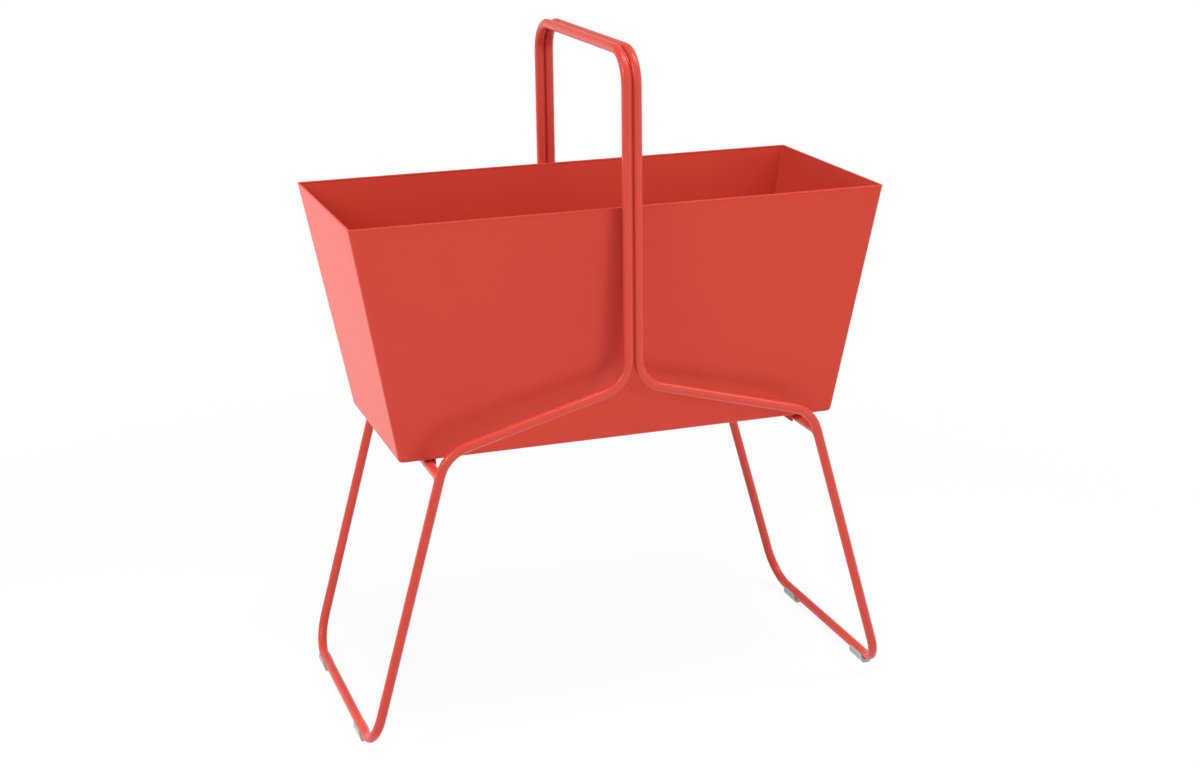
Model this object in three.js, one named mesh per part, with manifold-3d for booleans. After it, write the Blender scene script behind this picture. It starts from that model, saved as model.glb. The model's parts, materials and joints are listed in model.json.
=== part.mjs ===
// Tall basket planter: a folded sheet-steel trough carried by two bent-rod loops.
// Millimetres, +Z up. X runs along the trough, the front faces -Y, and the origin is on the floor
// under the middle of the trough.

import * as THREE from 'three';
import { mergeVertices } from 'three/addons/utils/BufferGeometryUtils.js';
import Module from 'manifold-3d';

const wasm = await Module();
wasm.setup();

// Rod frame
const ROD = 12; // diameter of every rod
const PAIR_GAP = 0.66; // between the two rods of the handle
const FRAME_DEPTH = 334; // between the axes of the front and back rods
const FOOT_SPAN = 680; // between the axes of the two floor rods
const KNEE_SPAN = 474; // between the knee corners, where the legs start
const KNEE_HEIGHT = 376.3;
const FORK_RISE = 61.6; // from the knee corners up to the fork corner
const HANDLE_RISE = 190.1; // from the trough's rim to the top of the handle
const HANDLE_BEND = 39; // bend radii, to the rod's axis
const FORK_BEND = 40;
const KNEE_BEND = 46;
const FOOT_BEND = 42;

// Cross-bars and the folded brackets on them
const BAR_SETBACK = 2; // from the end of the knee bend down the leg to the bar's axis
const BRACKET_SHEET = 2;
const BRACKET_LIP = 12; // overall height of the lip
const BRACKET_LIP_GAP = 2.2; // from the bar to the lip
const BRACKET_BEND = 1.5; // inside radius
const BRACKET_EDGE = 12; // from the screws to the free edge
const BRACKET_MARGIN = 14.4; // shorter than the trough's floor by this at each end

// Trough, outside sizes
const TROUGH_HEIGHT = 294.7;
const FLOOR_OVERHANG = 38.1; // floor beyond the cross-bars' axes
const END_FLARE = 53.5; // rim beyond the floor at each end
const SIDE_FLARE = 24; // rim beyond the floor at front and back
const RIM_CLEARANCE = 11; // from the rim to the upright rods
const SHEET = 2;
const CORNER_INSIDE = 2; // radius of the upright corners
const FLOOR_BEND_INSIDE = 3;

// Screws, washers and nuts through the trough's floor and the brackets
const SCREW = 6;
const SCREW_HEAD = 10.5;
const SCREW_HEAD_RISE = 3.3;
const SCREW_SOCKET = 4; // across flats
const SCREW_SOCKET_DEPTH = 2;
const SCREW_TIP = 2; // length past the nut
const SCREW_SETBACK = 45; // from each end of a bracket
const WASHER = 14;
const WASHER_SHEET = 1.5;
const NUT_FLATS = 10;
const NUT_RISE = 5;

// Drain plugs
const DRAIN_HOLE = 20;
const DRAIN_SETBACK = 97; // from the cross-bars inwards
const PLUG_RIM = 4; // flange past the hole, in radius
const PLUG_RIM_SHEET = 3;
const PLUG_STANDING = 5; // height inside the trough
const PLUG_TAPER = 1; // how much the plug's nose narrows, in radius
const PLUG_GRIP = 11; // diameter of the knob under the flange
const PLUG_GRIP_LENGTH = 5;
const PLUG_GRIP_DOME = 3;

// Glides clipped on the floor rods
const GLIDE_BASE = 4.7; // thickness under the rod
const GLIDE_FLAT = 6.4; // width of the flat underside
const GLIDE_WIDTH = 13.6;
const GLIDE_LENGTH = 38;
const GLIDE_LIP = 0.35; // thickness of the clip's upper edges
const GLIDE_WRAP = 12; // degrees that the clip reaches up past the rod's middle
const GLIDE_ROUND = 7; // radius of the clip's upper corners, seen from the side
const GLIDE_REACH = 8; // how far two of the glides run on under the foot bends
const GLIDE_SETBACK = 5; // from the foot bends to the other two

// Clearances and resolution
const SEAT = 0.3; // between pieces that touch
const HOLE_CLEARANCE = 0.4; // around the screws, in radius
const ROD_SIDES = 20;
const BEND_STEPS = 8; // for a quarter turn of a rod
const FOLD_STEPS = 4; // for a fold or a corner of sheet
const ROUND_SIDES = 32;

// Places worked out from the driving dimensions
const rodRadius = ROD / 2;
const frameY = FRAME_DEPTH / 2;
const pairX = (ROD + PAIR_GAP) / 2;
const floorRodZ = GLIDE_BASE + SEAT + rodRadius;
const kneeCorner = new THREE.Vector3(KNEE_SPAN / 2, -frameY, KNEE_HEIGHT);
const forkCorner = new THREE.Vector3(pairX, -frameY, KNEE_HEIGHT + FORK_RISE);
const footCorner = new THREE.Vector3(FOOT_SPAN / 2, -frameY, floorRodZ);
const legDirection = footCorner.clone().sub(kneeCorner).normalize();
const kneeTurn = kneeCorner.clone().sub(forkCorner).angleTo(legDirection);
const bar = kneeCorner.clone()
  .addScaledVector(legDirection, KNEE_BEND * Math.tan(kneeTurn / 2) + BAR_SETBACK);
const bracketZ = bar.z + rodRadius + SEAT;
const floorZ = bracketZ + BRACKET_SHEET + SEAT;
const handleCorner = new THREE.Vector3(pairX, -frameY, floorZ + TROUGH_HEIGHT + HANDLE_RISE - rodRadius);
const floorHalf = { length: bar.x + FLOOR_OVERHANG, width: frameY - rodRadius - RIM_CLEARANCE - SIDE_FLARE };
const bracketLength = 2 * (floorHalf.width - BRACKET_MARGIN);
const screwX = bar.x + rodRadius + SEAT + NUT_FLATS / Math.sqrt(3);
const screwY = bracketLength / 2 - SCREW_SETBACK;
const screwHole = SCREW / 2 + HOLE_CLEARANCE;
const drainX = bar.x - DRAIN_SETBACK;
const glideEnd = frameY - FOOT_BEND - GLIDE_LENGTH / 2;

const redCoat = { color: 0xcf4a3d, roughness: 0.5, metalness: 0.1 };
const greyPlastic = { color: 0xb4b8b6, roughness: 0.6, metalness: 0 };
const zincPlate = { color: 0xb9bcc0, roughness: 0.35, metalness: 0.9 };
const blackRubber = { color: 0x202020, roughness: 0.85, metalness: 0 };

// Solids for cutting

function solidOf(geometry) {
  const bare = geometry.clone();
  bare.deleteAttribute('normal');
  bare.deleteAttribute('uv');
  const merged = mergeVertices(bare, 1e-4);
  return new wasm.Manifold(new wasm.Mesh({
    numProp: 3,
    vertProperties: new Float32Array(merged.attributes.position.array),
    triVerts: new Uint32Array(merged.index.array),
  }));
}

function geometryOf(solid) {
  const mesh = solid.getMesh();
  const geometry = new THREE.BufferGeometry();
  geometry.setAttribute('position', new THREE.BufferAttribute(mesh.vertProperties, mesh.numProp));
  geometry.setIndex(new THREE.BufferAttribute(mesh.triVerts, 1));
  geometry.computeVertexNormals();
  return geometry;
}

function cut(geometry, cutters) {
  const whole = solidOf(geometry);
  return geometryOf(cutters.reduce((solid, cutter) => solid.subtract(solidOf(cutter)), whole));
}

// Skins a row of rings with equal numbers of points. A closed row joins its last ring to its first,
// and an open one gets a flat cap at each end.
function skin(rings, closed) {
  const size = rings[0].length;
  const index = [];
  const joins = closed ? rings.length : rings.length - 1;
  for (let r = 0; r < joins; r += 1) {
    const here = r * size;
    const next = ((r + 1) % rings.length) * size;
    for (let i = 0; i < size; i += 1) {
      const j = (i + 1) % size;
      index.push(here + i, here + j, next + j);
      index.push(here + i, next + j, next + i);
    }
  }
  if (!closed) {
    const last = (rings.length - 1) * size;
    for (let i = 1; i < size - 1; i += 1) {
      index.push(0, i + 1, i);
      index.push(last, last + i, last + i + 1);
    }
  }
  const geometry = new THREE.BufferGeometry().setFromPoints(rings.flat());
  geometry.setIndex(index);
  geometry.computeVertexNormals();
  return geometry;
}

// Equal shares from 0 to 1
function shares(steps) {
  return Array.from({ length: steps + 1 }, (_, step) => step / steps);
}

// Bent rods

// Centre line of a closed bent rod: straight runs joined by arcs that touch both runs
function bentLoop(corners, radii) {
  return corners.flatMap((corner, i) => {
    const before = corners.at(i - 1);
    const after = corners[(i + 1) % corners.length];
    const arriving = corner.clone().sub(before).normalize();
    const leaving = after.clone().sub(corner).normalize();
    const turn = arriving.angleTo(leaving);
    const inward = leaving.clone().addScaledVector(arriving, -arriving.dot(leaving)).normalize();
    const start = corner.clone().addScaledVector(arriving, -radii[i] * Math.tan(turn / 2));
    return shares(Math.ceil(BEND_STEPS * turn / (Math.PI / 2))).map((share) => {
      const angle = turn * share;
      const point = start.clone()
        .addScaledVector(arriving, radii[i] * Math.sin(angle))
        .addScaledVector(inward, radii[i] * (1 - Math.cos(angle)));
      const tangent = arriving.clone()
        .multiplyScalar(Math.cos(angle))
        .addScaledVector(inward, Math.sin(angle));
      return { point, tangent };
    });
  });
}

// Round section carried along a centre line without twisting. The loops are alike in front and behind,
// so the section comes back as it started.
function sweepLoop(stations, radius) {
  const normal = new THREE.Vector3(1, 0, 0);
  let tangent = stations[0].tangent;
  const rings = stations.map((station) => {
    normal.applyQuaternion(new THREE.Quaternion().setFromUnitVectors(tangent, station.tangent));
    tangent = station.tangent;
    const across = tangent.clone().cross(normal);
    return Array.from({ length: ROD_SIDES }, (_, k) => {
      const angle = 2 * Math.PI * k / ROD_SIDES;
      return station.point.clone()
        .addScaledVector(normal, radius * Math.cos(angle))
        .addScaledVector(across, radius * Math.sin(angle));
    });
  });
  return skin(rings, true);
}

// One rod from the handle down the front, along the floor and up the back
function frameLoop() {
  const front = [handleCorner, forkCorner, kneeCorner, footCorner];
  const back = front.map((corner) => corner.clone().setY(frameY)).reverse();
  const radii = [HANDLE_BEND, FORK_BEND, KNEE_BEND, FOOT_BEND];
  return sweepLoop(bentLoop([...front, ...back], [...radii, ...radii.toReversed()]), rodRadius);
}

// Straight rod between a front and a back leg, hollowed at its ends to sit against them
function crossBar() {
  const rod = new THREE.CylinderGeometry(rodRadius, rodRadius, FRAME_DEPTH, ROUND_SIDES);
  const lean = new THREE.Quaternion().setFromUnitVectors(new THREE.Vector3(0, 1, 0), legDirection);
  const legRadius = rodRadius + SEAT;
  const legs = [-frameY, frameY].map((y) => (
    new THREE.CylinderGeometry(legRadius, legRadius, 4 * ROD, ROUND_SIDES)
      .applyQuaternion(lean)
      .translate(0, y, 0)));
  return cut(rod, legs).translate(bar.x, 0, bar.z);
}

// Folded sheet

function upright(radius, height, x, y, z) {
  return new THREE.CylinderGeometry(radius, radius, height, ROUND_SIDES)
    .rotateX(Math.PI / 2)
    .translate(x, y, z);
}

// Strip on a cross-bar, under the trough, with a lip turned down on its inner side
function supportBracket() {
  const outside = BRACKET_BEND + BRACKET_SHEET;
  const lipFace = -(rodRadius + BRACKET_LIP_GAP + BRACKET_SHEET);
  const lipEnd = BRACKET_SHEET - BRACKET_LIP;
  const bendX = lipFace + outside;
  const freeEdge = screwX - bar.x + BRACKET_EDGE;
  const profile = new THREE.Shape();
  profile.moveTo(freeEdge, 0);
  profile.lineTo(freeEdge, BRACKET_SHEET);
  profile.lineTo(bendX, BRACKET_SHEET);
  profile.absarc(bendX, -BRACKET_BEND, outside, Math.PI / 2, Math.PI, false);
  profile.lineTo(lipFace, lipEnd);
  profile.lineTo(lipFace + BRACKET_SHEET, lipEnd);
  profile.lineTo(lipFace + BRACKET_SHEET, -BRACKET_BEND);
  profile.absarc(bendX, -BRACKET_BEND, BRACKET_BEND, Math.PI, Math.PI / 2, true);
  const extrusion = { depth: bracketLength, bevelEnabled: false, curveSegments: FOLD_STEPS };
  const strip = new THREE.ExtrudeGeometry(profile, extrusion)
    .rotateX(Math.PI / 2)
    .translate(bar.x, bracketLength / 2, bracketZ);
  const holes = [-screwY, screwY].map((y) => upright(screwHole, 4 * BRACKET_SHEET, screwX, y, bracketZ));
  return cut(strip, holes);
}

// Section of one wall, from the floor's underside up the outside, over the rim and down the inside.
// Each point has its distance from the middle, its height and its depth into the sheet.
function wallSection(half, flare) {
  const lean = Math.atan(flare / TROUGH_HEIGHT);
  const fold = Math.PI / 2 - lean;
  const bendOutside = FLOOR_BEND_INSIDE + SHEET;
  const flat = half - bendOutside * Math.tan(fold / 2);
  const bend = (share, depth) => ({
    out: flat + (bendOutside - depth) * Math.sin(fold * share),
    z: bendOutside - (bendOutside - depth) * Math.cos(fold * share),
    depth,
  });
  const rim = (share) => {
    const round = SHEET / 2;
    const depth = round * (1 - Math.cos(Math.PI * share));
    const z = TROUGH_HEIGHT - round + round * Math.sin(Math.PI * share);
    return { out: half + (TROUGH_HEIGHT - round) * Math.tan(lean) - depth, z, depth };
  };
  const steps = shares(FOLD_STEPS);
  return [
    ...steps.map((share) => bend(share, 0)),
    ...steps.map(rim),
    ...steps.toReversed().map((share) => bend(share, SHEET)),
  ];
}

// One level of the trough: a rectangle with round corners. The end and long walls fold up by different
// angles, so a corner runs from the end wall's height to the long wall's.
function troughRing(end, long) {
  const corner = CORNER_INSIDE + SHEET - end.depth;
  const quarters = [[1, 1], [-1, 1], [-1, -1], [1, -1]];
  return quarters.flatMap(([sx, sy]) => {
    const steps = shares(FOLD_STEPS);
    const turns = sx * sy > 0 ? steps : steps.toReversed();
    return turns.map((share) => new THREE.Vector3(
      sx * (end.out - corner * (1 - Math.cos(share * Math.PI / 2))),
      sy * (long.out - corner * (1 - Math.sin(share * Math.PI / 2))),
      THREE.MathUtils.lerp(end.z, long.z, share),
    ));
  });
}

function trough() {
  const ends = wallSection(floorHalf.length, END_FLARE);
  const longs = wallSection(floorHalf.width, SIDE_FLARE);
  const shell = skin(ends.map((end, i) => troughRing(end, longs[i])), false).translate(0, 0, floorZ);
  const holes = [-1, 1].flatMap((sx) => [
    upright(DRAIN_HOLE / 2, 4 * SHEET, sx * drainX, 0, floorZ),
    upright(screwHole, 4 * SHEET, sx * screwX, -screwY, floorZ),
    upright(screwHole, 4 * SHEET, sx * screwX, screwY, floorZ),
  ]);
  return cut(shell, holes);
}

// Turned pieces, from profiles of radius and height

function turned(profile) {
  const points = profile.map(([radius, z]) => new THREE.Vector2(radius, z));
  return new THREE.LatheGeometry(points, ROUND_SIDES).rotateX(Math.PI / 2);
}

// Quarter of an ellipse from a rim to the axis
function dome(radius, z, rise) {
  return shares(FOLD_STEPS).map((share) => [
    share < 1 ? radius * Math.cos(share * Math.PI / 2) : 0,
    z + rise * Math.sin(share * Math.PI / 2),
  ]);
}

const washerZ = floorZ + SHEET + SEAT;
const nutZ = bracketZ - SEAT - NUT_RISE;

// Button-head screw with a hexagon socket, head up inside the trough
function screw() {
  const headZ = washerZ + WASHER_SHEET + SEAT;
  const tipZ = nutZ - SCREW_TIP;
  const body = turned([
    [0, tipZ],
    [SCREW / 2, tipZ],
    [SCREW / 2, headZ],
    ...dome(SCREW_HEAD / 2, headZ, SCREW_HEAD_RISE),
  ]);
  const socketRadius = SCREW_SOCKET / Math.sqrt(3);
  const socket = new THREE.CylinderGeometry(socketRadius, socketRadius, 2 * SCREW_SOCKET_DEPTH, 6)
    .rotateX(Math.PI / 2)
    .translate(0, 0, headZ + SCREW_HEAD_RISE);
  return cut(body, [socket]);
}

function sealingWasher() {
  const top = washerZ + WASHER_SHEET;
  return turned([
    [screwHole, washerZ],
    [WASHER / 2, washerZ],
    [WASHER / 2, top],
    [screwHole, top],
    [screwHole, washerZ],
  ]);
}

function nut() {
  const hexagon = new THREE.Shape();
  const radius = NUT_FLATS / Math.sqrt(3);
  const corners = Array.from({ length: 6 }, (_, k) => (
    new THREE.Vector2(radius, 0).rotateAround(new THREE.Vector2(), k * Math.PI / 3)));
  hexagon.setFromPoints(corners);
  hexagon.holes.push(new THREE.Path().absarc(0, 0, SCREW / 2 + SEAT, 0, 2 * Math.PI, true));
  const extrusion = { depth: NUT_RISE, bevelEnabled: false, curveSegments: ROUND_SIDES / 2 };
  return new THREE.ExtrudeGeometry(hexagon, extrusion).translate(0, 0, nutZ);
}

// Rubber plug pushed up into a drain hole, with a knob to pull it out by
function drainPlug() {
  const body = DRAIN_HOLE / 2 - SEAT;
  const flange = DRAIN_HOLE / 2 + PLUG_RIM;
  const flangeTop = floorZ - SEAT;
  const flangeLow = flangeTop - PLUG_RIM_SHEET;
  const noseZ = floorZ + SHEET + PLUG_STANDING;
  return turned([
    ...dome(PLUG_GRIP / 2, flangeLow - PLUG_GRIP_LENGTH, -PLUG_GRIP_DOME).toReversed(),
    [PLUG_GRIP / 2, flangeLow],
    [flange, flangeLow],
    [flange, flangeTop],
    [body, flangeTop],
    [body, floorZ + SHEET],
    [body - PLUG_TAPER, noseZ],
    [0, noseZ],
  ]);
}

// Plastic clip round the underside of a floor rod, centred on the rod
function glide() {
  const inside = rodRadius + SEAT;
  const outside = inside + GLIDE_LIP;
  const wrap = THREE.MathUtils.degToRad(GLIDE_WRAP);
  const lip = new THREE.Vector2(outside * Math.cos(wrap), outside * Math.sin(wrap));
  const wide = GLIDE_WIDTH / 2;
  const shoulder = -rodRadius / 2;
  const section = new THREE.Shape();
  section.moveTo(-GLIDE_FLAT / 2, -floorRodZ);
  section.lineTo(GLIDE_FLAT / 2, -floorRodZ);
  section.quadraticCurveTo(wide, -floorRodZ, wide, shoulder);
  section.lineTo(lip.x, lip.y);
  section.absarc(0, 0, inside, wrap, Math.PI - wrap, true);
  section.lineTo(-lip.x, lip.y);
  section.lineTo(-wide, shoulder);
  section.quadraticCurveTo(-wide, -floorRodZ, -GLIDE_FLAT / 2, -floorRodZ);
  const margin = GLIDE_BASE;
  const clip = new THREE.ExtrudeGeometry(section, {
    depth: GLIDE_LENGTH + 2 * margin,
    bevelEnabled: false,
    curveSegments: ROUND_SIDES / 4,
  })
    .rotateX(Math.PI / 2)
    .translate(0, GLIDE_LENGTH / 2 + margin, 0);

  const low = -floorRodZ - margin;
  const end = GLIDE_LENGTH / 2;
  const side = new THREE.Shape();
  side.moveTo(-end, low);
  side.lineTo(end, low);
  side.absarc(end - GLIDE_ROUND, lip.y - GLIDE_ROUND, GLIDE_ROUND, 0, Math.PI / 2, false);
  side.absarc(GLIDE_ROUND - end, lip.y - GLIDE_ROUND, GLIDE_ROUND, Math.PI / 2, Math.PI, false);
  const width = GLIDE_WIDTH + 2 * margin;
  const outline = new THREE.ExtrudeGeometry(side, {
    depth: width,
    bevelEnabled: false,
    curveSegments: FOLD_STEPS,
  })
    .rotateX(Math.PI / 2)
    .rotateZ(Math.PI / 2)
    .translate(-width / 2, 0, 0);
  return geometryOf(solidOf(clip).intersect(solidOf(outline)));
}

// Assembly: both halves are the same pieces, turned half round

function add(group, name, geometry, finish) {
  const mesh = new THREE.Mesh(geometry, new THREE.MeshStandardMaterial(finish));
  mesh.name = name;
  group.add(mesh);
  return mesh;
}

const planter = new THREE.Group();
add(planter, 'trough', trough(), redCoat);
for (const [side, turn] of [['right', 0], ['left', Math.PI]]) {
  const half = new THREE.Group();
  half.rotation.z = turn;
  planter.add(half);
  add(half, `${side}_frame_loop`, frameLoop(), redCoat);
  add(half, `${side}_cross_bar`, crossBar(), redCoat);
  add(half, `${side}_support_bracket`, supportBracket(), redCoat);
  add(half, `${side}_drain_plug`, drainPlug(), blackRubber).position.set(drainX, 0, 0);
  for (const [y, gap] of [[-1, -GLIDE_REACH], [1, GLIDE_SETBACK]]) {
    const place = `${side}_${y * Math.cos(turn) < 0 ? 'front' : 'back'}`;
    add(half, `${place}_screw`, screw(), zincPlate).position.set(screwX, y * screwY, 0);
    add(half, `${place}_sealing_washer`, sealingWasher(), blackRubber).position.set(screwX, y * screwY, 0);
    add(half, `${place}_nut`, nut(), zincPlate).position.set(screwX, y * screwY, 0);
    add(half, `${place}_glide`, glide(), greyPlastic)
      .position.set(FOOT_SPAN / 2, y * (glideEnd - gap), floorRodZ);
  }
}

export default planter;
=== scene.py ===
import json
import math

import bmesh
import bpy
from mathutils import Matrix, Vector


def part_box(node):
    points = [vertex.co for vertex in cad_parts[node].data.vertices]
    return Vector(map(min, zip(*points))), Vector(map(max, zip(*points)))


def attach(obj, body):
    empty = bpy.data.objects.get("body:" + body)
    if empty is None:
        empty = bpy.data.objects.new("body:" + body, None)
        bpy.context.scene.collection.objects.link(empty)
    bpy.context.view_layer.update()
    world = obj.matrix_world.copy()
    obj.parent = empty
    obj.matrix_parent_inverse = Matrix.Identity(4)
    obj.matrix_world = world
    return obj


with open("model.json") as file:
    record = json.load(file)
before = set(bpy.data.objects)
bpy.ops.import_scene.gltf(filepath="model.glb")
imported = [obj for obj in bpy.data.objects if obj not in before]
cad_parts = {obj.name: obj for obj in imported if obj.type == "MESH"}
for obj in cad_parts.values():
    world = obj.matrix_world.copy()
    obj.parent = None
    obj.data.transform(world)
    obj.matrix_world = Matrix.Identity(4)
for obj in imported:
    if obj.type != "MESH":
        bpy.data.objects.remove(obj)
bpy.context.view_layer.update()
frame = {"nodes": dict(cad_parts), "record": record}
scene = bpy.context.scene

# Lengths are in metres, in the frame of the CAD model
MM = 0.001
UP = Vector((0.0, 0.0, 1.0))
WHITE = (1.0, 1.0, 1.0, 1.0)

# Camera, from the photograph: degrees, and millimetres for the lens and the sensor
CAMERA_PLACE = (-0.78468, -2.32778, 1.14595)
CAMERA_YAW, CAMERA_PITCH, CAMERA_ROLL = 18.942, 17.110, -0.751
CAMERA_LENS, CAMERA_SENSOR = 59.834, 36.0
CAMERA_NEAR, CAMERA_FAR = 0.05, 200.0

# Lamps: place, aim, width, height, spread in degrees, power in watts, and whether it shows in gloss
LAMPS = {
    "key_front_right": ((2.2, -3.9, 1.0), (0.0, 0.0, 0.48), 1.3, 2.3, 180.0, 38.0, False),
    "low_front": ((0.2, -1.1, 0.02), (0.2, -1.1, 1.0), 0.9, 0.7, 180.0, 3.4, False),
    "back_left": ((-1.85, 1.6, 0.57), (-0.32, 0.0, 0.55), 1.0, 0.4, 36.0, 2.3, False),
    "top_left": ((-2.0, -0.6, 1.8), (-0.2, 0.0, 0.4), 1.2, 0.9, 180.0, 25.0, True),
    "top": ((1.2, -0.45, 2.5), (1.2, -0.45, 0.0), 2.8, 0.4, 180.0, 46.0, True),
    "left_foot": ((-0.42, 0.0, 1.5), (-0.6, 0.0, 0.0), 0.5, 0.06, 30.0, 0.85, False),
    "right_foot": ((0.42, 0.0, 1.5), (0.6, 0.0, 0.0), 0.5, 0.06, 30.0, 0.35, False),
}

# Surroundings, where a brightness of 1 is white
AMBIENT = 0.38  # as light on the object
MIRRORED_LOW, MIRRORED_HIGH = 1.0, 0.35  # as gloss shows them, level and higher up
MIRRORED_RISE = 0.35  # where higher up starts, as the Z of a direction

# Floor
FLOOR_REACH = 40.0
FLOOR_DROP = 0.3 * MM  # below the glides, so that no two faces coincide
FLOOR_PALE = 0.95  # its colour where it is seen
FLOOR_BOUNCE = 0.75  # its colour as it throws light back on the object
FLOOR_GLOW = 0.3  # how much of it glows by itself, as light on the object
FLOOR_SHADE = 0.08  # how much of its shading is seen close to the object
FLOOR_NEAR, FLOOR_FAR = 0.6, 1.5  # distances from the middle between which that fades away

# Finishes: a darker and a lighter colour of each, and the coat's gloss on each kind of piece
RED = (0.63, 0.0625, 0.0415), (0.65, 0.0645, 0.043)
GREY = (0.4, 0.42, 0.415), (0.45, 0.47, 0.465)
ZINC = (0.56, 0.58, 0.6), (0.68, 0.7, 0.72)
BLACK = (0.014, 0.014, 0.015), (0.024, 0.024, 0.025)
TROUGH_GLOSS, ROD_GLOSS, BRACKET_GLOSS = 0.08, 0.26, 0.0
NOISE_LOW, NOISE_HIGH = 0.3, 0.7  # most values of a noise texture lie between these

# Edges of the CAD nodes, with angles in degrees between the faces that meet there
SAME_POINT = 0.002 * MM  # corners this close are one
SMOOTH_ANGLE = 50.0  # up to this, an edge is shaded smooth
ROUND_ANGLE = 35.0  # beyond this, an edge is rounded, on nodes whose names end as below
ROUND_STEPS = 3
ROUNDS = {"_nut": 0.4 * MM, "_sealing_washer": 0.3 * MM, "_drain_plug": 0.6 * MM}

# Rods, from the frame
loop_low, loop_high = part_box("right_frame_loop")
bar_low, bar_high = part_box("right_cross_bar")
ROD_RADIUS = (bar_high.z - bar_low.z) / 2
FRAME_Y = loop_high.y - ROD_RADIUS  # from the middle to the axes of the front and back rods
FLOOR_ROD_X, FLOOR_ROD_Z = loop_high.x - ROD_RADIUS, loop_low.z + ROD_RADIUS
HANDLE_Z = loop_high.z - ROD_RADIUS  # height of the handle's axis
HANDLE_BEND = 39 * MM  # radius of its bends
SIDES = {"right": 1.0, "left": -1.0}
ROWS = {"front": -1.0, "back": 1.0}

# Collars of weld between the cross-bars and the legs
WELD_LOW, WELD_HIGH, WELD_SIDE = 12 * MM, 3 * MM, 2 * MM  # reach down and up the leg, and to its sides
WELD_RIPPLES, WELD_RIPPLE = 9, 0.03  # unevenness: how often, and its share of the reach
WELD_CROWN = 0.35 * MM
WELD_SINK = 0.06 * MM  # how far the edges go into the rods
WELD_ROOT = 1.2 * MM  # how far the weld goes into the corner
WELD_STEPS, WELD_ARC = 48, 8  # steps round the bar, and across the weld

# Short beads of weld, with sizes given as half length, width and rise
BEAD_STEP, BEAD_ARC = 0.5 * MM, 8  # step along the bead, and steps across it
BEAD_PITCH, BEAD_RIPPLE = 2.2 * MM, 0.12  # spacing of the ripples, and their share of the rise
BEAD_BLUNT = 8  # power that keeps the ends blunt
BEAD_END = 0.02  # share of the section that is left at the ends
BRACKET_BEADS = -94 * MM, -30 * MM, 30 * MM, 94 * MM  # places along a cross-bar
BRACKET_BEAD = 9 * MM, 3.4 * MM, 0.9 * MM
BRACKET_BEAD_OUT, BRACKET_BEAD_DROP = 3.4 * MM, 0.7 * MM  # from the bar's axis, and from its top
BRACKET_BEAD_FACING = 0.5, -0.85  # outwards and upwards
PAIR_BEADS = 500 * MM, 600 * MM  # heights on the uprights
PAIR_BEAD = 12 * MM, 4.6 * MM, 0.8 * MM
PAIR_BEAD_INSET = 4.9 * MM  # from the uprights' axes to the inside of the handle
HANDLE_BEAD_Y, HANDLE_BEAD_Z = 70 * MM, 831.7 * MM  # from the middle of the handle, and from the floor

# Threads on the screws' ends
THREAD_ROOT, THREAD_DEPTH, THREAD_PITCH = 2.95 * MM, 0.28 * MM, 1.0 * MM
THREAD_FLANK, THREAD_CREST = 0.4 * MM, 0.06 * MM  # half heights at the root and the crest
THREAD_SINK = 0.4 * MM  # how far the thread goes into the screw
THREAD_START, THREAD_SHORT = 0.32 * MM, 0.55  # height over the tip, and turns left out below the nut
THREAD_FADE, THREAD_END = 0.125, 0.05  # at each end, share of the thread that fades, and depth left
THREAD_STEPS = 28  # in a turn

# Coat between the handle's rods, and on the rim of the trough
SEAM_FOOT = 466 * MM  # where the two rods part
SEAM_WIDE, SEAM_DEEP = 0.45 * MM, 1.5 * MM  # half sizes of its section
SEAM_STEPS = 12  # in each bend
SHEET = 2 * MM
RIM_CORNER = 4 * MM  # outside radius of the trough's corners
RIM_BEAD = 1.4 * MM  # radius
RIM_STEPS, RIM_SIDES = 6, 12  # steps in each corner, and sides of the bead


def look_axes(yaw, pitch, roll):
    """Right, up and forward of a camera that looks along +Y before it is turned."""
    yaw, pitch, roll = (math.radians(angle) for angle in (yaw, pitch, roll))
    ahead = Vector((math.sin(yaw), math.cos(yaw), 0.0))
    forward = ahead * math.cos(pitch) - UP * math.sin(pitch)
    level = Vector((math.cos(yaw), -math.sin(yaw), 0.0))
    above = level.cross(forward)
    right = math.cos(roll) * level + math.sin(roll) * above
    up = -math.sin(roll) * level + math.cos(roll) * above
    return right, up, forward


def make_camera():
    data = bpy.data.cameras.new("camera")
    data.sensor_fit = "HORIZONTAL"
    data.sensor_width = CAMERA_SENSOR
    data.lens = CAMERA_LENS
    data.clip_start, data.clip_end = CAMERA_NEAR, CAMERA_FAR
    camera = bpy.data.objects.new("camera", data)
    right, up, forward = look_axes(CAMERA_YAW, CAMERA_PITCH, CAMERA_ROLL)
    turn = Matrix((right, up, -forward)).transposed()
    camera.matrix_world = Matrix.Translation(CAMERA_PLACE) @ turn.to_4x4()
    scene.collection.objects.link(camera)
    scene.camera = camera


def make_lamps():
    for name, (place, aim, width, height, spread, power, gloss) in LAMPS.items():
        data = bpy.data.lights.new(name, "AREA")
        data.shape = "RECTANGLE"
        data.size, data.size_y = width, height
        data.spread = math.radians(spread)
        data.energy = power
        lamp = bpy.data.objects.new(name, data)
        lamp.location = place
        lamp.rotation_mode = "QUATERNION"
        lamp.rotation_quaternion = (Vector(aim) - Vector(place)).to_track_quat("-Z", "Y")
        lamp.visible_camera = False
        lamp.visible_glossy = gloss
        scene.collection.objects.link(lamp)


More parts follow.
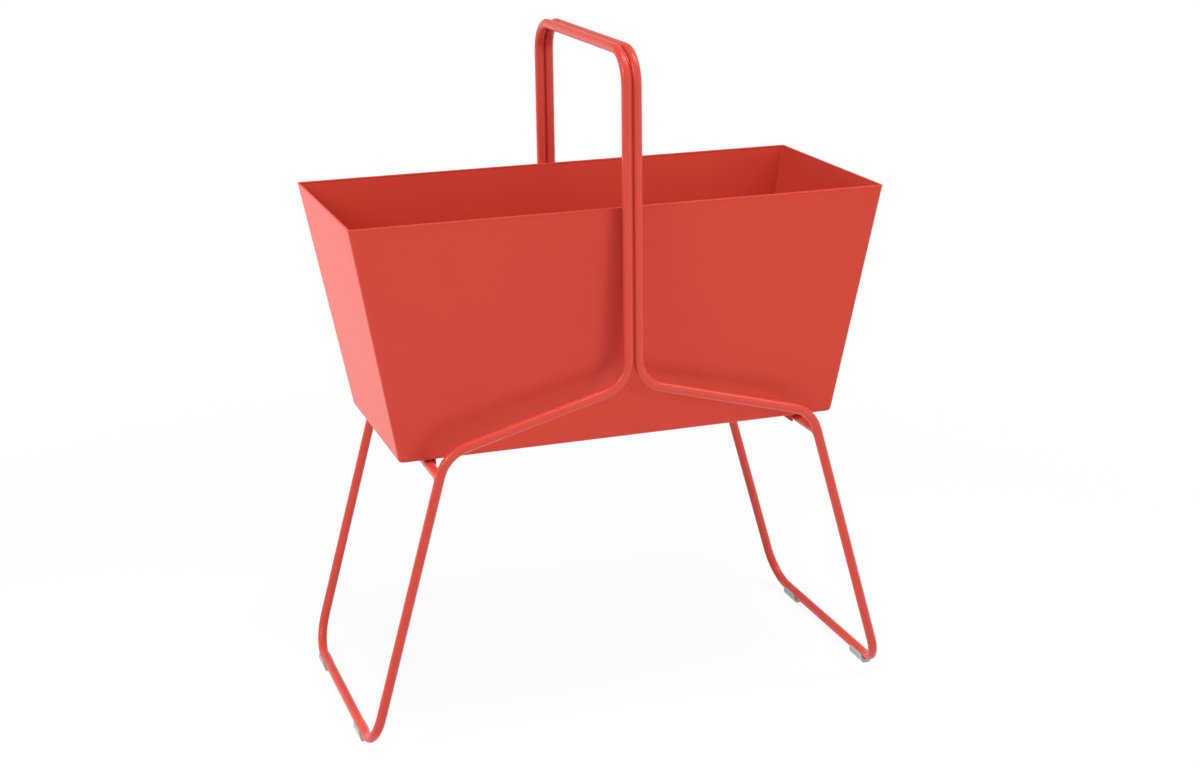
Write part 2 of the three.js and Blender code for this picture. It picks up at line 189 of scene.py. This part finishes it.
class Tree:
    """Adds nodes to a material's or world's node tree, with their settings and links."""

    def __init__(self, owner):
        owner.use_nodes = True
        self.tree = owner.node_tree
        self.tree.nodes.clear()

    def add(self, kind, inputs=None, **settings):
        node = self.tree.nodes.new(kind)
        for name, value in settings.items():
            setattr(node, name, value)
        for name, value in (inputs or {}).items():
            if isinstance(value, bpy.types.NodeSocket):
                self.tree.links.new(value, node.inputs[name])
            else:
                node.inputs[name].default_value = value
        return node

    def place(self, kind):
        return self.add("ShaderNodeTexCoord").outputs[kind]

    def ray(self, kind):
        return self.add("ShaderNodeLightPath").outputs[kind]

    def larger(self, first, second):
        return self.add("ShaderNodeMath", {0: first, 1: second}, operation="MAXIMUM").outputs[0]

    def seen_ray(self):
        """1 for rays that show a surface to the camera, straight or by gloss or glass."""
        straight_or_gloss = self.larger(self.ray("Is Camera Ray"), self.ray("Is Glossy Ray"))
        return self.larger(straight_or_gloss, self.ray("Is Transmission Ray"))

    def between(self, value, low, high, start=0.0, end=1.0):
        """Goes from low to high as the value goes from start to end."""
        inputs = {"Value": value, "From Min": start, "From Max": end, "To Min": low, "To Max": high}
        return self.add("ShaderNodeMapRange", inputs).outputs[0]


class Finish(Tree):
    """A material of noise textures and a Principled shader."""

    def __init__(self, name):
        self.material = bpy.data.materials.new(name)
        super().__init__(self.material)

    def noise(self, scale, detail=3.0):
        inputs = {"Vector": self.place("Object"), "Scale": scale, "Detail": detail}
        return self.add("ShaderNodeTexNoise", inputs).outputs["Fac"]

    def spread(self, noise, low, high):
        """Goes from low to high over a noise texture's usual range."""
        return self.between(noise, low, high, NOISE_LOW, NOISE_HIGH)

    def colours(self, noise, pair):
        mix = self.add("ShaderNodeMix", {"Factor": self.spread(noise, 0.0, 1.0)}, data_type="RGBA")
        ends = [socket for socket in mix.inputs if socket.type == "RGBA"]
        for socket, colour in zip(ends, pair):
            socket.default_value = (*colour, 1.0)
        return next(socket for socket in mix.outputs if socket.type == "RGBA")

    def bump(self, noise, depth, under=None):
        inputs = {"Height": noise, "Distance": depth, "Strength": 1.0}
        if under is not None:
            inputs["Normal"] = under
        return self.add("ShaderNodeBump", inputs).outputs[0]

    def close(self, colour, roughness, normal, constants=None):
        inputs = {"Base Color": colour, "Roughness": roughness, "Normal": normal, **(constants or {})}
        shader = self.add("ShaderNodeBsdfPrincipled", inputs)
        self.add("ShaderNodeOutputMaterial", {"Surface": shader.outputs[0]})
        return self.material


def make_world():
    """White to the camera, dimmer upwards where gloss shows it, and even light on the object."""
    world = bpy.data.worlds.new("studio")
    tree = Tree(world)
    rise = tree.add("ShaderNodeSeparateXYZ", {0: tree.place("Generated")}).outputs["Z"]
    mirrored = tree.between(rise, MIRRORED_LOW, MIRRORED_HIGH, end=MIRRORED_RISE)
    to_object = tree.between(tree.seen_ray(), AMBIENT, mirrored)
    strength = tree.between(tree.ray("Is Camera Ray"), to_object, 1.0)
    back = tree.add("ShaderNodeBackground", {"Color": WHITE, "Strength": strength})
    tree.add("ShaderNodeOutputWorld", {"Surface": back.outputs[0]})
    scene.world = world


def floor_material():
    """Nearly white where it is seen, with a faint shadow close to the object, and dimmer as light."""
    material = bpy.data.materials.new("floor")
    tree = Tree(material)
    seen = tree.seen_ray()
    matte = tree.add("ShaderNodeBsdfDiffuse", {"Color": tree.between(seen, FLOOR_BOUNCE, FLOOR_PALE)})
    glow = tree.add("ShaderNodeEmission", {"Color": WHITE, "Strength": 1.0})
    away = tree.add("ShaderNodeVectorMath", {0: tree.place("Object")}, operation="LENGTH").outputs["Value"]
    plain = tree.between(away, 1.0 - FLOOR_SHADE, 1.0, FLOOR_NEAR, FLOOR_FAR)
    share = tree.between(seen, FLOOR_GLOW, plain)
    mix = tree.add("ShaderNodeMixShader", {0: share, 1: matte.outputs[0], 2: glow.outputs[0]})
    tree.add("ShaderNodeOutputMaterial", {"Surface": mix.outputs[0]})
    return material


def make_floor():
    mesh = bpy.data.meshes.new("floor")
    signs = ((-1, -1), (1, -1), (1, 1), (-1, 1))
    corners = [(x * FLOOR_REACH, y * FLOOR_REACH, 0.0) for x, y in signs]
    mesh.from_pydata(corners, [], [(0, 1, 2, 3)])
    mesh.materials.append(floor_material())
    floor = bpy.data.objects.new("floor", mesh)
    floor.location.z = -FLOOR_DROP
    scene.collection.objects.link(floor)


def red_coat(name, gloss):
    """Satin powder coat: fine grain on a slight orange peel, a little clouded."""
    finish = Finish(name)
    peel = finish.noise(scale=700.0, detail=2.0)
    grain = finish.noise(scale=2600.0, detail=2.0)
    cloud = finish.noise(scale=5.0, detail=2.0)
    roughness = finish.spread(grain, 0.25, 0.32)
    normal = finish.bump(grain, depth=0.03 * MM, under=finish.bump(peel, depth=0.04 * MM))
    return finish.close(finish.colours(cloud, RED), roughness, normal, {"Specular IOR Level": gloss})


def grey_plastic():
    """Moulded plastic with a fine matte grain."""
    finish = Finish("grey_plastic")
    grain = finish.noise(scale=1800.0)
    cloud = finish.noise(scale=60.0)
    roughness = finish.spread(grain, 0.5, 0.65)
    return finish.close(finish.colours(cloud, GREY), roughness, finish.bump(grain, depth=0.04 * MM))


def zinc_plate():
    """Bright zinc plating with a fine spangle."""
    finish = Finish("zinc_plate")
    spangle = finish.noise(scale=420.0, detail=4.0)
    roughness = finish.spread(spangle, 0.24, 0.4)
    normal = finish.bump(spangle, depth=0.02 * MM)
    return finish.close(finish.colours(spangle, ZINC), roughness, normal, {"Metallic": 1.0})


def black_rubber():
    """Dull moulded rubber."""
    finish = Finish("black_rubber")
    grain = finish.noise(scale=1500.0, detail=4.0)
    cloud = finish.noise(scale=90.0)
    roughness = finish.spread(grain, 0.68, 0.85)
    return finish.close(finish.colours(cloud, BLACK), roughness, finish.bump(grain, depth=0.05 * MM))


def make_finishes():
    return {
        "red_coat": red_coat("red_powder_coat", TROUGH_GLOSS),
        "red_coat_rod": red_coat("red_powder_coat_on_rod", ROD_GLOSS),
        "red_coat_bracket": red_coat("red_powder_coat_on_bracket", BRACKET_GLOSS),
        "grey_plastic": grey_plastic(),
        "zinc_plate": zinc_plate(),
        "black_rubber": black_rubber(),
    }


def smooth_by_angle():
    """Geometry nodes that keep an edge sharp where its faces meet at more than SMOOTH_ANGLE."""
    group = bpy.data.node_groups.new("smooth_by_angle", "GeometryNodeTree")
    for way in ("INPUT", "OUTPUT"):
        group.interface.new_socket("Geometry", in_out=way, socket_type="NodeSocketGeometry")
    start = group.nodes.new("NodeGroupInput")
    end = group.nodes.new("NodeGroupOutput")
    angle = group.nodes.new("GeometryNodeInputMeshEdgeAngle")
    sharper = group.nodes.new("FunctionNodeCompare")
    sharper.operation = "GREATER_THAN"
    sharper.inputs["B"].default_value = math.radians(SMOOTH_ANGLE)
    shade = group.nodes.new("GeometryNodeSetShadeSmooth")
    shade.domain = "EDGE"
    shade.inputs["Shade Smooth"].default_value = False
    group.links.new(start.outputs[0], shade.inputs["Geometry"])
    group.links.new(angle.outputs["Unsigned Angle"], sharper.inputs["A"])
    group.links.new(sharper.outputs["Result"], shade.inputs["Selection"])
    group.links.new(shade.outputs[0], end.inputs[0])
    return group


def soften(node, group):
    """Smooth shading and small rounds by modifiers, so that the node's own points stay as they are."""
    attributes = node.data.attributes
    for name in ("custom_normal", "sharp_edge", "sharp_face"):
        if name in attributes:
            attributes.remove(attributes[name])
    weld = node.modifiers.new("weld", "WELD")
    weld.merge_threshold = SAME_POINT
    for ending, width in ROUNDS.items():
        if node.name.endswith(ending):
            bevel = node.modifiers.new("round", "BEVEL")
            bevel.width = width
            bevel.segments = ROUND_STEPS
            bevel.limit_method = "ANGLE"
            bevel.angle_limit = math.radians(ROUND_ANGLE)
    smooth = node.modifiers.new("smooth", "NODES")
    smooth.node_group = group
    even = node.modifiers.new("even", "WEIGHTED_NORMAL")
    even.keep_sharp = True


def dress_nodes(finishes):
    group = smooth_by_angle()
    slots = {row["node"]: row["material_slot"] for row in frame["record"]["subparts"]}
    for name, node in frame["nodes"].items():
        finish = slots[name]
        if name.endswith(("_frame_loop", "_cross_bar")):
            finish = "red_coat_rod"
        elif name.endswith("_support_bracket"):
            finish = "red_coat_bracket"
        node.data.materials.clear()
        node.data.materials.append(finishes[finish])
        soften(node, group)


# New pieces, which ride with the planter

def piece(name, rings, closed, finish, smooth=True):
    """Skin over rings with equal numbers of points. If closed, the last ring joins the first."""
    size = len(rings[0])
    faces = []
    for r in range(len(rings) if closed else len(rings) - 1):
        here, there = r * size, (r + 1) % len(rings) * size
        for i in range(size):
            j = (i + 1) % size
            faces.append((here + i, here + j, there + j, there + i))
    if not closed:
        last = (len(rings) - 1) * size
        faces.append(tuple(range(size)))
        faces.append(tuple(range(last, last + size)))
    mesh = bpy.data.meshes.new(name)
    mesh.from_pydata([point for ring in rings for point in ring], [], faces)
    shape = bmesh.new()
    shape.from_mesh(mesh)
    bmesh.ops.recalc_face_normals(shape, faces=shape.faces)
    shape.to_mesh(mesh)
    shape.free()
    if smooth:
        mesh.shade_smooth()
    mesh.materials.append(finish)
    made = bpy.data.objects.new(name, mesh)
    scene.collection.objects.link(made)
    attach(made, "planter")


def cross_bar_weld(side, row, finish):
    """Collar of weld where a cross-bar meets a leg, deepest along the leg and thin at its sides."""
    low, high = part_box(f"{side}_cross_bar")
    centre = (low + high) / 2
    centre.y = ROWS[row] * FRAME_Y
    foot = Vector((SIDES[side] * FLOOR_ROD_X, centre.y, FLOOR_ROD_Z))
    along = (foot - centre).normalized()
    inward = Vector((0.0, -ROWS[row], 0.0))
    across = along.cross(inward)

    def on_leg(run, turn):
        """Point on the leg, at a place along it and a turn from the side that the bar meets."""
        return centre + along * run + (across * math.sin(turn) + inward * math.cos(turn)) * ROD_RADIUS

    rings = []
    for step in range(WELD_STEPS):
        theta = 2 * math.pi * step / WELD_STEPS
        phi = math.asin(math.sin(theta))
        most = WELD_LOW if math.cos(theta) > 0 else WELD_HIGH
        reach = WELD_SIDE + (most - WELD_SIDE) * math.cos(theta) ** 2
        reach *= 1 + WELD_RIPPLE * math.sin(WELD_RIPPLES * theta)
        meet = on_leg(ROD_RADIUS * math.cos(theta), phi)
        first = meet + inward * reach
        turned = phi + reach / ROD_RADIUS * math.sin(theta)
        last = on_leg((ROD_RADIUS + reach) * math.cos(theta), turned)
        from_bar = along * math.cos(theta) + across * math.sin(theta)
        from_leg = across * math.sin(phi) + inward * math.cos(phi)
        bulge = (from_bar + from_leg).normalized()
        ring = []
        for part in range(WELD_ARC + 1):
            a = part / WELD_ARC
            point = first * (1 - a) ** 2 + meet * 2 * a * (1 - a) + last * a ** 2
            ring.append(point + bulge * (4 * WELD_CROWN * a * (1 - a) - WELD_SINK))
        ring.append(meet - bulge * WELD_ROOT)
        rings.append(ring)
    piece(f"{side}_{row}_weld", rings, True, finish)


def bead(name, centre, along, out, sizes, finish):
    """Short weld: a rippled, low-domed strip that tapers at both ends."""
    half, width, rise = sizes
    centre, along, out = Vector(centre), Vector(along), Vector(out).normalized()
    across = along.cross(out).normalized()
    steps = round(2 * half / BEAD_STEP)
    rings = []
    for step in range(steps + 1):
        place = 2 * step / steps - 1
        middle = centre + along * (half * place)
        taper = BEAD_END + (1 - BEAD_END) * math.sqrt(1 - place ** BEAD_BLUNT)
        ripple = 1 + BEAD_RIPPLE * math.sin(2 * math.pi * half * (place + 1) / BEAD_PITCH)
        ring = []
        for part in range(BEAD_ARC + 1):
            angle = math.pi * part / BEAD_ARC
            aside = across * (math.cos(angle) * width / 2 * taper)
            ring.append(middle + aside + out * (math.sin(angle) * rise * ripple * taper))
        ring.append(middle - out * rise)
        rings.append(ring)
    piece(name, rings, False, finish)


def bracket_beads(side, finish):
    """Beads along both sides of a cross-bar, under its bracket. Those named in lie towards -X."""
    low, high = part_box(f"{side}_cross_bar")
    outwards, upwards = BRACKET_BEAD_FACING
    for number, y in enumerate(BRACKET_BEADS):
        for edge, way in (("in", -1.0), ("out", 1.0)):
            name = f"{side}_bracket_weld_{edge}_{number}"
            x = (low.x + high.x) / 2 + way * BRACKET_BEAD_OUT
            place = (x, y, high.z - BRACKET_BEAD_DROP)
            bead(name, place, (0, 1, 0), (way * outwards, 0, upwards), BRACKET_BEAD, finish)


def pair_beads(row, finish):
    """Beads that hold the handle's two rods together, on the inside of the handle."""
    back = ROWS[row]
    for number, z in enumerate(PAIR_BEADS):
        place = (0, back * (FRAME_Y - PAIR_BEAD_INSET), z)
        bead(f"{row}_pair_weld_{number}", place, UP, (0, -back, 0), PAIR_BEAD, finish)
    place = (0, back * HANDLE_BEAD_Y, HANDLE_BEAD_Z)
    bead(f"handle_{row}_weld", place, (0, back, 0), -UP, PAIR_BEAD, finish)


def thread(side, row, finish):
    """Turns of thread on the end of a screw, below its nut."""
    low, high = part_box(f"{side}_{row}_screw")
    nut_low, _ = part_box(f"{side}_{row}_nut")
    turns = (nut_low.z - low.z) / THREAD_PITCH - THREAD_SHORT
    steps = round(turns * THREAD_STEPS)
    start = (low + high) / 2
    start.z = low.z + THREAD_START
    rings = []
    for step in range(steps + 1):
        share = step / steps
        angle = 2 * math.pi * turns * share
        way = Vector((math.cos(angle), math.sin(angle), 0.0))
        middle = start + UP * (THREAD_PITCH * turns * share)
        fade = min(1.0, share / THREAD_FADE, (1 - share) / THREAD_FADE)
        crest = THREAD_ROOT + THREAD_DEPTH * (THREAD_END + (1 - THREAD_END) * fade)
        section = (
            (THREAD_ROOT, -THREAD_FLANK),
            (crest, -THREAD_CREST),
            (crest, THREAD_CREST),
            (THREAD_ROOT, THREAD_FLANK),
            (THREAD_ROOT - THREAD_SINK, 0.0),
        )
        rings.append([middle + way * radius + UP * z for radius, z in section])
    piece(f"{side}_{row}_thread", rings, False, finish)


def make_joins(finishes):
    coat = finishes["red_coat_rod"]
    for side in SIDES:
        for row in ROWS:
            cross_bar_weld(side, row, coat)
            thread(side, row, finishes["zinc_plate"])
        bracket_beads(side, coat)
    for row in ROWS:
        pair_beads(row, coat)


def pair_seam(finish):
    """Coat that bridges the two rods of the handle, all along their touching sides."""
    path = [(-FRAME_Y, SEAM_FOOT, Vector((0.0, -1.0, 0.0)))]
    for quarter, back in enumerate(ROWS.values()):
        for step in range(SEAM_STEPS + 1):
            turn = math.pi / 2 * (quarter + step / SEAM_STEPS)
            out = Vector((0.0, -math.cos(turn), math.sin(turn)))
            y = back * (FRAME_Y - HANDLE_BEND) + HANDLE_BEND * out.y
            z = HANDLE_Z - HANDLE_BEND + HANDLE_BEND * out.z
            path.append((y, z, out))
    path.append((FRAME_Y, SEAM_FOOT, Vector((0.0, 1.0, 0.0))))
    section = (
        (-SEAM_WIDE, -SEAM_DEEP),
        (SEAM_WIDE, -SEAM_DEEP),
        (SEAM_WIDE, SEAM_DEEP),
        (-SEAM_WIDE, SEAM_DEEP),
    )
    rings = [[Vector((x, y, z)) + out * depth for x, depth in section] for y, z, out in path]
    piece("pair_seam", rings, False, finish, smooth=False)


def rim_bead(finish):
    """Rounded bead of coat on the sheet's edge, all round the trough's rim."""
    _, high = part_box("trough")
    angles = [2 * math.pi * side / RIM_SIDES for side in range(RIM_SIDES)]
    rings = []
    for quarter, (x, y) in enumerate(((1, 1), (-1, 1), (-1, -1), (1, -1))):
        corner = Vector((x * (high.x - RIM_CORNER), y * (high.y - RIM_CORNER), high.z - RIM_BEAD))
        for step in range(RIM_STEPS + 1):
            turn = math.pi / 2 * (quarter + step / RIM_STEPS)
            out = Vector((math.cos(turn), math.sin(turn), 0.0))
            middle = corner + out * (RIM_CORNER - SHEET / 2)
            rings.append([middle + (out * math.cos(a) + UP * math.sin(a)) * RIM_BEAD for a in angles])
    piece("rim_bead", rings, True, finish)


scene.view_settings.view_transform = "Standard"
make_camera()
make_lamps()
make_world()
make_floor()
finishes = make_finishes()
dress_nodes(finishes)
make_joins(finishes)
pair_seam(finishes["red_coat_rod"])
rim_bead(finishes["red_coat"])
